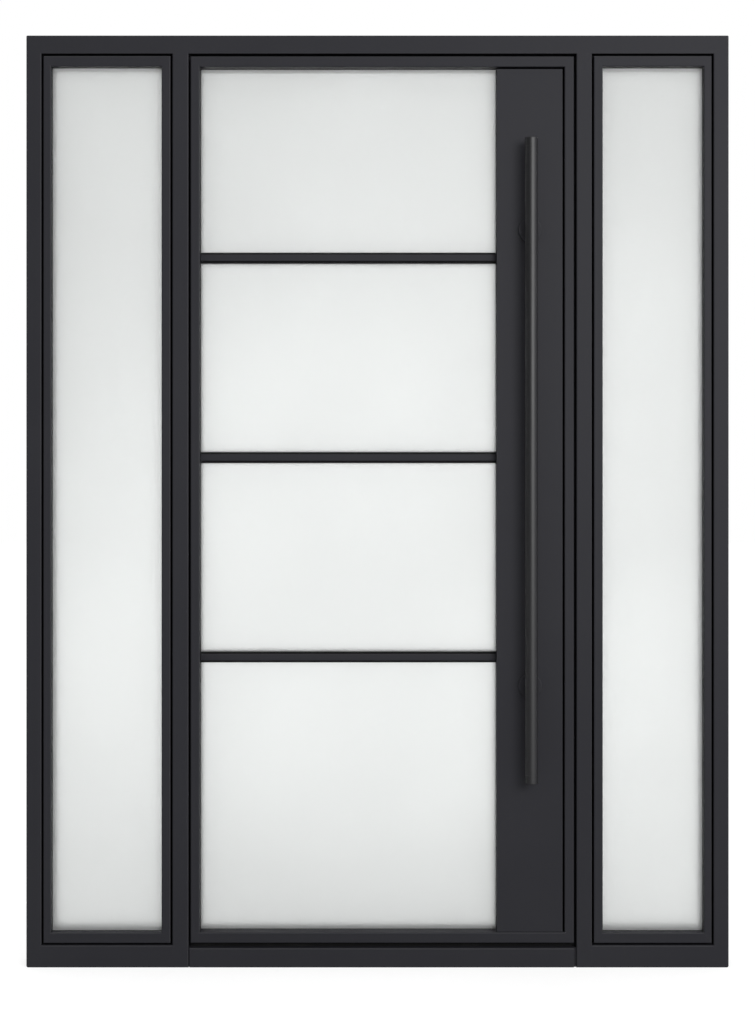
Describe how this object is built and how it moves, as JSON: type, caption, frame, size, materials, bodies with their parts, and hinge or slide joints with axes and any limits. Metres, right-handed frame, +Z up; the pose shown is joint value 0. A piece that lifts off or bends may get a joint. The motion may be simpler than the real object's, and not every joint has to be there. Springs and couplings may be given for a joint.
{
  "type": "steel entry door with sidelights",
  "caption": "Black steel entry door with frosted stacked lites, a long pull bar and a fixed frosted sidelight each side.",
  "frame": {"origin": "middle of the threshold's underside, at mid depth of the frame", "axes": "+Z up, +X to the right seen from outside, -Y faces outside"},
  "size_m": [1.676, 0.195, 2.224],
  "materials": {
    "steel": "matte, fine texture",
    "bar": "satin",
    "frosted": "frosted",
    "seal": "matte",
    "spacer": "satin",
    "fitting": "satin"
  },
  "bodies": {
    "frame": {"left_jamb": "steel", "right_jamb": "steel", "head_rail": "steel", "left_mullion": "steel", "right_mullion": "steel", "left_sill_rail": "steel", "right_sill_rail": "steel", "threshold": "steel", "weather_seal": "seal", "strike_plate": "fitting", "frame_hinges": "steel", "left_sash_stiles": "steel", "left_sash_rails": "steel", "left_light_glass": "frosted", "right_sash_stiles": "steel", "right_sash_rails": "steel", "right_light_glass": "frosted", "sidelight_side_beads": "steel", "sidelight_cross_beads": "steel", "sidelight_gaskets": "seal", "sidelight_spacers": "spacer", "sidelight_packers": "seal"},
    "door_leaf": {"hinge_stile": "steel", "lock_stile": "steel", "leaf_top_rail": "steel", "leaf_bottom_rail": "steel", "lock_panel": "steel", "roller_catch": "fitting", "bottom_sweep": "seal", "leaf_hinges": "steel", "lower_muntin": "steel", "middle_muntin": "steel", "upper_muntin": "steel", "door_glass_1": "frosted", "door_glass_2": "frosted", "door_glass_3": "frosted", "door_glass_4": "frosted", "door_side_beads": "steel", "door_cross_beads": "steel", "door_gaskets": "seal", "door_spacers": "spacer", "outside_pull_bar": "bar", "outside_bar_caps": "bar", "outside_standoffs": "bar", "inside_pull_bar": "bar", "inside_bar_caps": "bar", "inside_standoffs": "bar"}
  },
  "joints": [
    {"name": "door_swing", "type": "hinge", "parent": "frame", "child": "door_leaf", "pos_m": [-0.46295, 0.0505, 0], "axis": [0, 0, 1], "range_deg": [0, 110]}
  ]
}
